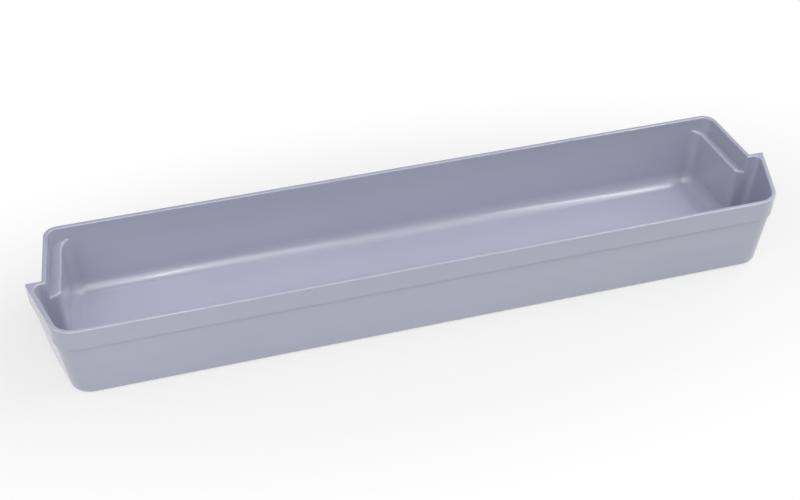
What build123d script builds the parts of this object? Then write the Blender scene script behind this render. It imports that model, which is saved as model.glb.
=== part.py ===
from build123d import *
from math import radians, tan
import os

# Fridge door shelf: one moulded tray, in millimetres.
# X runs along the shelf, -Y faces the room, +Y faces the door and +Z is up.
# The origin is under the middle of the shelf, on the surface that it stands on.

# Plan of the rim, measured to the corners before they are rounded
LENGTH = 490.0           # over the tips of the two ears
DEPTH = 100.5            # rear edge to front edge
SHOULDER_DEPTH = 50.0    # rear edge to the shoulders, where the ears begin
EAR_REACH = 10.0         # how far each ear stands out at its shoulder
END_TAPER = 5.0          # how far each rear end draws in towards the rear corner
EAR_TAPER = 14.0         # how far each ear draws in towards the front corner

# Heights
HEIGHT = 54.5            # underside to rim
BAND_HEIGHT = 15.0       # thicker band below the rim
FLOOR = 2.4              # thickness of the floor

# Walls
WALL = 2.0               # thickness below the band
BAND_STEP = 1.0          # how far the band stands out from the wall below it
LEDGE_WIDTH = 7.0        # ledge inside each rear end
LEDGE_FALL = 2.0         # how far each ledge falls from its lip to the end wall
DRAFT = 1.0              # lean of the walls, in degrees
EAR_LEAN = 6.3           # lean of the ears below the band, in degrees

# Corner radii in plan
REAR_RADIUS = 9.0        # rear corners, outside
FRONT_RADIUS = 15.0      # front corners, outside
NECK_RADIUS = 0.8        # corner between rear end and shoulder, along the rim
TIP_RADIUS = 1.0         # tip of each ear, outside the band
FOOT_TIP_RADIUS = 3.2    # tip of each ear, outside below the band
INNER_TIP_RADIUS = 4.1   # tip of each ear, inside
LEDGE_RADIUS = 4.0       # front corner of each ledge

# Rounding of edges
RIM_ROUND = 0.8          # both edges of the rim
BAND_ROUND = 0.6         # lower edge of the band
BOTTOM_ROUND = 3.0       # around the underside
FLOOR_ROUND = 5.0        # inside, around the floor
LEDGE_ROUND = 1.4        # lip of each ledge

# Levels and thicknesses that follow from the sizes above
RIM_WALL = WALL + BAND_STEP
BAND_Z = HEIGHT - BAND_HEIGHT
ROOT_Z = BAND_Z + RIM_WALL
LIP_Z = ROOT_Z + LEDGE_FALL
ABOVE_Z = HEIGHT + WALL
TIP_X = LENGTH / 2
NECK_X = TIP_X - EAR_REACH
SHOULDER_Y = DEPTH / 2 - SHOULDER_DEPTH

# Right half of the rim's plan, from the middle of the rear to the middle of the front
PLAN = [
    Vector(0, DEPTH / 2),
    Vector(NECK_X - END_TAPER, DEPTH / 2),
    Vector(NECK_X, SHOULDER_Y),
    Vector(TIP_X, SHOULDER_Y),
    Vector(TIP_X - EAR_TAPER, -DEPTH / 2),
    Vector(0, -DEPTH / 2),
]
REAR, NECK, TIP, FRONT = range(1, 5)


def fall(z):
    """How far a drafted wall has come in at height z."""
    return (HEIGHT - z) * tan(radians(DRAFT))


def crossing(first, second):
    """The point where two lines meet, each given as a point and a direction."""
    (p, d), (q, e) = first, second
    gap = q - p
    return p + d * ((gap.X * e.Y - gap.Y * e.X) / (d.X * e.Y - d.Y * e.X))


def ring(z, inset, ledge, ear):
    """Corners at height z of the plan drawn in by an inset, by a ledge more at the rear end."""
    lines = [(PLAN[0], Vector(0, 1))]
    for start, stop, reach in zip(PLAN, PLAN[1:], (inset, inset + ledge, inset, ear, inset)):
        direction = (stop - start).normalized()
        inward = Vector(direction.Y, -direction.X)
        lines.append((start + inward * reach, direction))
    lines.append((PLAN[-1], Vector(0, 1)))
    return [crossing(a, b) + Vector(0, 0, z) for a, b in zip(lines, lines[1:])]


def band_ring(z):
    """Outside of the band."""
    return ring(z, fall(z), 0, fall(z))


def ear_inset(z):
    """How far the outside of each ear has come in below the band."""
    return BAND_STEP + fall(BAND_Z) + (BAND_Z - z) * tan(radians(EAR_LEAN))


def body_ring(z):
    """Outside of the wall below the band."""
    return ring(z, BAND_STEP + fall(z), LEDGE_WIDTH, ear_inset(z))


def inner_ring(z, ledge):
    """Inside of the walls, where each ear is one flat face from rim to floor."""
    slope = (ear_inset(FLOOR) + WALL - RIM_WALL) / (HEIGHT - FLOOR)
    return ring(z, RIM_WALL + fall(z), ledge, RIM_WALL + (HEIGHT - z) * slope)


def block(low, high):
    """A solid with flat leaning sides between two rings of corners."""
    loops = [low, high]
    for i in range(len(low)):
        loops.append([low[i - 1], low[i], high[i], high[i - 1]])
    return Solid(Shell([Face(Wire.make_polygon(loop, close=True)) for loop in loops]))


def edge_at(solid, first, second):
    """The edge of a solid that runs half way between two points."""
    return solid.edges().sort_by_distance((first + second) / 2)[0]


def rounded(solid, low, high, corner, radius):
    """Rounds one upright corner."""
    return fillet(edge_at(solid, low[corner], high[corner]), radius)


def rounded_level(solid, level, radius):
    """Rounds the lowest edges of a solid, or the highest, but not those in the middle plane."""
    edges = solid.edges().group_by(Axis.Z)[level]
    return fillet(edges.filter_by(lambda edge: edge.center().X > radius / 2), radius)


# Right half of the band, outside
low, high = band_ring(BAND_Z), band_ring(HEIGHT)
band = block(low, high)
for corner, radius in ((REAR, REAR_RADIUS), (NECK, NECK_RADIUS), (TIP, TIP_RADIUS), (FRONT, FRONT_RADIUS)):
    band = rounded(band, low, high, corner, radius)
band = rounded_level(band, 0, BAND_ROUND)

# Right half of the wall below the band, outside
low, high = body_ring(0), body_ring(BAND_Z)
body = block(low, high)
body = rounded(body, low, high, REAR, REAR_RADIUS)
body = rounded(body, low, high, NECK, LEDGE_RADIUS - WALL)
body = rounded(body, low, high, TIP, FOOT_TIP_RADIUS)
body = rounded(body, low, high, FRONT, FRONT_RADIUS - BAND_STEP)
body = rounded_level(body, 0, BOTTOM_ROUND)

# Right half of the inside: narrow at the rear end below the ledge, wide above it, sloping where it widens
foot, lip = inner_ring(FLOOR, LEDGE_WIDTH), inner_ring(LIP_Z, LEDGE_WIDTH)
root, over, mouth = inner_ring(ROOT_Z, 0), inner_ring(LIP_Z, 0), inner_ring(ABOVE_Z, 0)
slope = block([lip[REAR], over[REAR], root[REAR]], [lip[NECK], over[NECK], root[NECK]])
inside = block(foot, lip) + block(over, mouth) + slope
inside = rounded(inside, foot, lip, REAR, REAR_RADIUS - WALL)
inside = rounded(inside, foot, lip, NECK, LEDGE_RADIUS)
inside = fillet(edge_at(inside, lip[REAR], lip[NECK]), LEDGE_ROUND)
inside = rounded(inside, over, mouth, NECK, NECK_RADIUS)
inside = rounded(inside, over, mouth, REAR, REAR_RADIUS - RIM_WALL)
inside = rounded(inside, over, mouth, TIP, INNER_TIP_RADIUS)
inside = rounded(inside, over, mouth, FRONT, FRONT_RADIUS - RIM_WALL)
inside = rounded_level(inside, 0, FLOOR_ROUND)

# The shelf: right half with both edges of its rim rounded, and its mirror image
half = rounded_level(band + body - inside, -1, RIM_ROUND)
shelf = half + mirror(half, about=Plane.YZ)

os.makedirs("parts", exist_ok=True)
export_step(shelf, "parts/door_shelf.step")
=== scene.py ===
from math import cos, radians, sin
import bpy
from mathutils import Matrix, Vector

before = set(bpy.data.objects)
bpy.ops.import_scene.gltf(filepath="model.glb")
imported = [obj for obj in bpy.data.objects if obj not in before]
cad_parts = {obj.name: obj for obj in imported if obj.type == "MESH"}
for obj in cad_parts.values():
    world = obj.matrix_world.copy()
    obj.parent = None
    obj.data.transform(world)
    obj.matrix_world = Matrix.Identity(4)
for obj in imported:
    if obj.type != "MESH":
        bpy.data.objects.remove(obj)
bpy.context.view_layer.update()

# Lengths are in metres. X runs along the shelf, -Y faces the room and +Z is up.

# Inside of the shelf, as part.py builds it
FLOOR_TOP = 0.0024               # top of the floor
DRAFT = 0.0175                   # how far the walls lean out per unit of height
WALL_Y = 0.0463                  # middle of the shelf to its front and rear walls, at the foot
END_ALONG, END_ASIDE = 0.995, 0.0995    # way that each rear end's wall faces, along X and Y
END_REACH = 0.2229               # middle of the shelf to that wall, the way it faces
SHOULDER_Y = (-0.006, -0.002)    # the shoulders lie between these

# Look of the plastic
RUN_RADIUS = 0.009               # round between walls and floor, as the shading shows it
BAND_FOOT = (0.036, 0.038)       # edges above this height are handled most
DARK = (0.405, 0.413, 0.527, 1)
LIGHT = (0.440, 0.447, 0.553, 1)
SPECK = (0.50, 0.51, 0.61, 1)
WORN = (0.60, 0.61, 0.68, 1)
BASE_ROUGHNESS = 0.285           # below about 0.274 the denoiser draws hard-edged patches

# Floor and camera
FLOOR_SIZE = 12
FLOOR_Z = -0.0002                # just under the shelf, so that the two faces don't mix
GLOW_SPREAD = (2.8, 6.5, 0.0)    # shape of the darker area around the shelf
AIM = Vector((0, 0, 0.03))       # point that the soft boxes look at
CAMERA_PLACE = (-0.1892, -0.63755, 0.6015)
CAMERA_ELEVATION = 40.968
CAMERA_AZIMUTH = -15.700

scene = bpy.context.scene
scene.view_settings.view_transform = "Standard"


class Graph:
    """Short names for the nodes of one material."""

    def __init__(self, material):
        material.use_nodes = True
        self.nodes = material.node_tree.nodes
        self.links = material.node_tree.links

    def put(self, socket, value):
        """Links a socket to another one, or sets its value."""
        if isinstance(value, bpy.types.NodeSocket):
            self.links.new(value, socket)
        else:
            socket.default_value = value

    def math(self, operation, *values):
        node = self.nodes.new("ShaderNodeMath")
        node.operation = operation
        for socket, value in zip(node.inputs, values):
            self.put(socket, value)
        return node.outputs[0]

    def vector(self, operation, *values):
        """A sum on vectors; a length or a dot product gives a number."""
        node = self.nodes.new("ShaderNodeVectorMath")
        node.operation = operation
        for socket, value in zip(node.inputs, values):
            self.put(socket, value)
        return node.outputs["Value" if operation in ("LENGTH", "DOT_PRODUCT") else "Vector"]

    def split(self, vector):
        node = self.nodes.new("ShaderNodeSeparateXYZ")
        self.put(node.inputs[0], vector)
        return node.outputs

    def join(self, *values):
        node = self.nodes.new("ShaderNodeCombineXYZ")
        for socket, value in zip(node.inputs, values):
            self.put(socket, value)
        return node.outputs[0]

    def ramp(self, value, low, high, start=0.0, stop=1.0, smooth=False):
        """Maps low..high to start..stop and stays inside that range."""
        node = self.nodes.new("ShaderNodeMapRange")
        node.interpolation_type = "SMOOTHSTEP" if smooth else "LINEAR"
        node.clamp = True
        names = ("Value", "From Min", "From Max", "To Min", "To Max")
        for name, item in zip(names, (value, low, high, start, stop)):
            self.put(node.inputs[name], item)
        return node.outputs["Result"]

    def noise(self, place, scale, detail=2.0, rough=0.5):
        node = self.nodes.new("ShaderNodeTexNoise")
        self.put(node.inputs["Vector"], place)
        node.inputs["Scale"].default_value = scale
        node.inputs["Detail"].default_value = detail
        node.inputs["Roughness"].default_value = rough
        return node.outputs["Fac"]

    def mix(self, factor, a, b):
        """Mixes two colours."""
        node = self.nodes.new("ShaderNodeMix")
        node.data_type = "RGBA"
        self.put(node.inputs["Factor"], factor)
        self.put(node.inputs["A"], a)
        self.put(node.inputs["B"], b)
        return node.outputs["Result"]

    def mix_vectors(self, factor, a, b):
        node = self.nodes.new("ShaderNodeMix")
        node.data_type = "VECTOR"
        self.put(node.inputs["Factor"], factor)
        self.put(node.inputs[4], a)
        self.put(node.inputs[5], b)
        return node.outputs[1]

    def bump(self, height, distance, strength, normal):
        node = self.nodes.new("ShaderNodeBump")
        node.inputs["Strength"].default_value = strength
        node.inputs["Distance"].default_value = distance
        self.put(node.inputs["Height"], height)
        self.put(node.inputs["Normal"], normal)
        return node.outputs["Normal"]


def soft_run(g, place, normal):
    """The normal, turned near the floor as if the walls ran into it with a wider round."""
    x, y, z = g.split(place)

    def near(distance):
        """1 on a face, falling to 0 at the round's radius from it."""
        return g.ramp(distance, 0.0, RUN_RADIUS, 1.0, 0.0)

    # Distances to the floor, to the front or rear wall and to the wall of a rear end
    over = g.math("SUBTRACT", z, FLOOR_TOP)
    draft = g.math("MULTIPLY", z, DRAFT)
    gap_y = g.math("SUBTRACT", g.math("ADD", draft, WALL_Y), g.math("ABSOLUTE", y))
    reach = g.math("MULTIPLY_ADD", y, -END_ASIDE, g.math("ADD", draft, END_REACH))
    gap_x = g.math("MULTIPLY_ADD", g.math("ABSOLUTE", x), -END_ALONG, reach)
    rear = g.ramp(y, *SHOULDER_Y)

    # A normal that points away from each face that is near
    low = near(over)
    wall_y = near(gap_y)
    wall_x = g.math("MULTIPLY", near(gap_x), rear)
    along_x = g.math("MULTIPLY", g.math("MULTIPLY", g.math("SIGN", x), wall_x), -END_ALONG)
    from_wall = g.math("MULTIPLY", g.math("MULTIPLY", g.math("SIGN", y), wall_y), -1.0)
    along_y = g.math("MULTIPLY_ADD", wall_x, -END_ASIDE, from_wall)
    turned = g.vector("NORMALIZE", g.join(along_x, along_y, low))

    # Only inside the shelf: not under the floor, on faces that look outwards or behind the shoulders
    outward = g.vector("DOT_PRODUCT", normal, g.vector("MULTIPLY", place, (1.0, 1.0, 0.0)))
    inside = g.math("MULTIPLY", g.ramp(over, -0.0006, -0.0003), g.ramp(outward, 0.004, 0.012, 1.0, 0.0))
    front = g.ramp(rear, 0.0, 1.0, 1.0, 0.0)
    within = g.math("MAXIMUM", g.ramp(gap_x, -0.0008, -0.0004), front)
    inside = g.math("MULTIPLY", inside, within)

    # Only where floor and wall are both near
    by_wall = g.ramp(g.math("MAXIMUM", wall_x, wall_y), 0.0, 0.05)
    beside = g.math("MULTIPLY", by_wall, g.ramp(low, 0.0, 0.25))
    return g.mix_vectors(g.math("MULTIPLY", inside, beside), normal, turned)


def shelf_plastic():
    """Pale lavender-grey moulded plastic, semi-gloss."""
    material = bpy.data.materials.new("shelf_plastic")
    g = Graph(material)
    shader = g.nodes["Principled BSDF"]
    place = g.nodes.new("ShaderNodeTexCoord").outputs["Object"]
    normal = g.nodes.new("ShaderNodeNewGeometry").outputs["Normal"]
    height = g.split(place)["Z"]
    up = g.split(normal)["Z"]

    # Rounded edges are the faces that are neither level nor upright, here at the band and the underside
    tilt = g.math("ABSOLUTE", up)
    rounds = g.math("MULTIPLY", g.ramp(tilt, 0.2, 0.4), g.ramp(tilt, 0.97, 0.9))
    above = g.ramp(height, *BAND_FOOT)
    below = g.ramp(up, 0.0, -0.2)
    edges = g.math("MULTIPLY", rounds, g.math("MAXIMUM", above, below))

    # Colour: slow cloudiness, faint flow lines along the shelf, specks, paler worn edges
    clouds = g.noise(place, 11.0, 3.0)
    flow = g.noise(g.vector("MULTIPLY", place, (5.0, 70.0, 110.0)), 1.0, 4.0, 0.6)
    speck = g.noise(place, 620.0, 1.0)
    tone = g.math("ADD", g.math("MULTIPLY", clouds, 0.55), g.math("MULTIPLY", flow, 0.45))
    colour = g.mix(g.ramp(tone, 0.32, 0.68), DARK, LIGHT)
    colour = g.mix(g.ramp(speck, 0.55, 0.85, 0.0, 0.10), colour, SPECK)
    patchy = g.ramp(g.noise(place, 150.0, 4.0, 0.65), 0.42, 0.66)
    worn = g.math("MULTIPLY", edges, patchy)
    colour = g.mix(g.math("MULTIPLY", worn, 0.45), colour, WORN)
    g.put(shader.inputs["Base Color"], colour)

    # Gloss: smoother and duller patches from handling, duller worn edges
    smudge = g.noise(place, 34.0, 5.0, 0.6)
    rough = g.math("MULTIPLY_ADD", smudge, 0.10, BASE_ROUGHNESS)
    rough = g.math("ADD", rough, g.math("MULTIPLY", flow, 0.05))
    rough = g.math("ADD", rough, g.math("MULTIPLY", worn, 0.12))
    g.put(shader.inputs["Roughness"], rough)
    shader.inputs["IOR"].default_value = 1.5
    shader.inputs["Coat Weight"].default_value = 0.9
    shader.inputs["Coat Roughness"].default_value = 0.12

    # Surface: a soft run from floor to walls, slight waviness of the moulding and a fine grain
    run = soft_run(g, place, normal)
    waves = g.bump(g.noise(place, 95.0), 0.00012, 0.5, run)
    grain = g.bump(g.noise(place, 1400.0), 0.00002, 0.5, waves)
    g.put(shader.inputs["Normal"], grain)
    g.put(shader.inputs["Coat Normal"], run)
    return material


def white_floor():
    """Pale floor that the camera and reflections see as nearly white, with the shelf's shadow on it."""
    material = bpy.data.materials.new("white_floor")
    g = Graph(material)
    shader = g.nodes["Principled BSDF"]
    shader.inputs["Base Color"].default_value = (0.65, 0.65, 0.65, 1)
    shader.inputs["Roughness"].default_value = 0.9
    glow = g.nodes.new("ShaderNodeEmission")
    rays = g.nodes.new("ShaderNodeLightPath").outputs
    seen = g.math("MAXIMUM", rays["Is Camera Ray"], rays["Is Transmission Ray"])
    seen = g.math("MAXIMUM", seen, rays["Is Glossy Ray"])

    # The glow is weaker near the shelf, where its shadow lies
    place = g.nodes.new("ShaderNodeTexCoord").outputs["Object"]
    away = g.vector("LENGTH", g.vector("MULTIPLY", place, GLOW_SPREAD))
    share = g.math("MULTIPLY", seen, g.ramp(away, 0.6, 1.3, 0.68, 1.0, True))
    blend = g.nodes.new("ShaderNodeMixShader")
    g.put(blend.inputs[0], share)
    g.put(blend.inputs[1], shader.outputs[0])
    g.put(blend.inputs[2], glow.outputs[0])
    g.put(g.nodes["Material Output"].inputs["Surface"], blend.outputs[0])
    return material


def lamp(name, place, rotation, width, length, power):
    """A flat soft light."""
    data = bpy.data.lights.new(name, "AREA")
    data.shape = "RECTANGLE"
    data.size = width
    data.size_y = length
    data.energy = power
    holder = bpy.data.objects.new(name, data)
    scene.collection.objects.link(holder)
    holder.location = place
    holder.rotation_euler = rotation


def soft_box(name, azimuth, elevation, distance, size, power):
    """A square light that looks at the shelf; azimuth 0 is the front and 90 the right."""
    a, e = radians(azimuth), radians(elevation)
    place = AIM + distance * Vector((cos(e) * sin(a), -cos(e) * cos(a), sin(e)))
    rotation = (AIM - place).to_track_quat("-Z", "Y").to_euler()
    lamp(name, place, rotation, size, size, power)


def tube(name, place, turn, width, length, power):
    """A long light that looks straight down and draws a streak on the round behind the floor."""
    lamp(name, place, (0, 0, radians(turn)), width, length, power)


# The shelf keeps its CAD mesh and gets a better material
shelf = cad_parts["door_shelf"]
shelf.material_slots[0].material = shelf_plastic()

# Floor and surroundings
bpy.ops.mesh.primitive_plane_add(size=FLOOR_SIZE, location=(0, 0, FLOOR_Z))
floor = bpy.context.object
floor.name = "floor"
floor.data.materials.append(white_floor())

world = bpy.data.worlds.new("studio")
scene.world = world
world.use_nodes = True
background = world.node_tree.nodes["Background"]
background.inputs["Color"].default_value = (1, 1, 1, 1)
background.inputs["Strength"].default_value = 0.03

# Lamps: name, azimuth, elevation, distance, size and power
soft_box("front", -34, 42, 0.90, 1.0, 5.2)
soft_box("front_high", 4, 58, 1.2, 1.0, 1.8)
soft_box("right", 93, 38, 1.0, 1.1, 6.0)
soft_box("right_high", 76, 66, 1.2, 0.9, 2.3)
soft_box("left", -88, 40, 1.0, 0.5, 0.7)
soft_box("back", -122, 58, 1.0, 0.5, 1.0)

# Lamps: name, place, turn, width, length and power
tube("tube_right", (0.62, -0.52, 1.2), -7.9, 0.055, 1.17, 2.5)
tube("tube_left", (-0.095, -0.875, 1.2), 7, 0.03, 0.57, 1.2)

# Camera at the photo's angle
camera_data = bpy.data.cameras.new("camera")
camera_data.sensor_fit = "HORIZONTAL"
camera_data.sensor_width = 36
camera_data.lens = 60.606
camera = bpy.data.objects.new("camera", camera_data)
scene.collection.objects.link(camera)
camera.location = CAMERA_PLACE
camera.rotation_euler = (radians(90 - CAMERA_ELEVATION), 0, radians(CAMERA_AZIMUTH))
scene.camera = camera
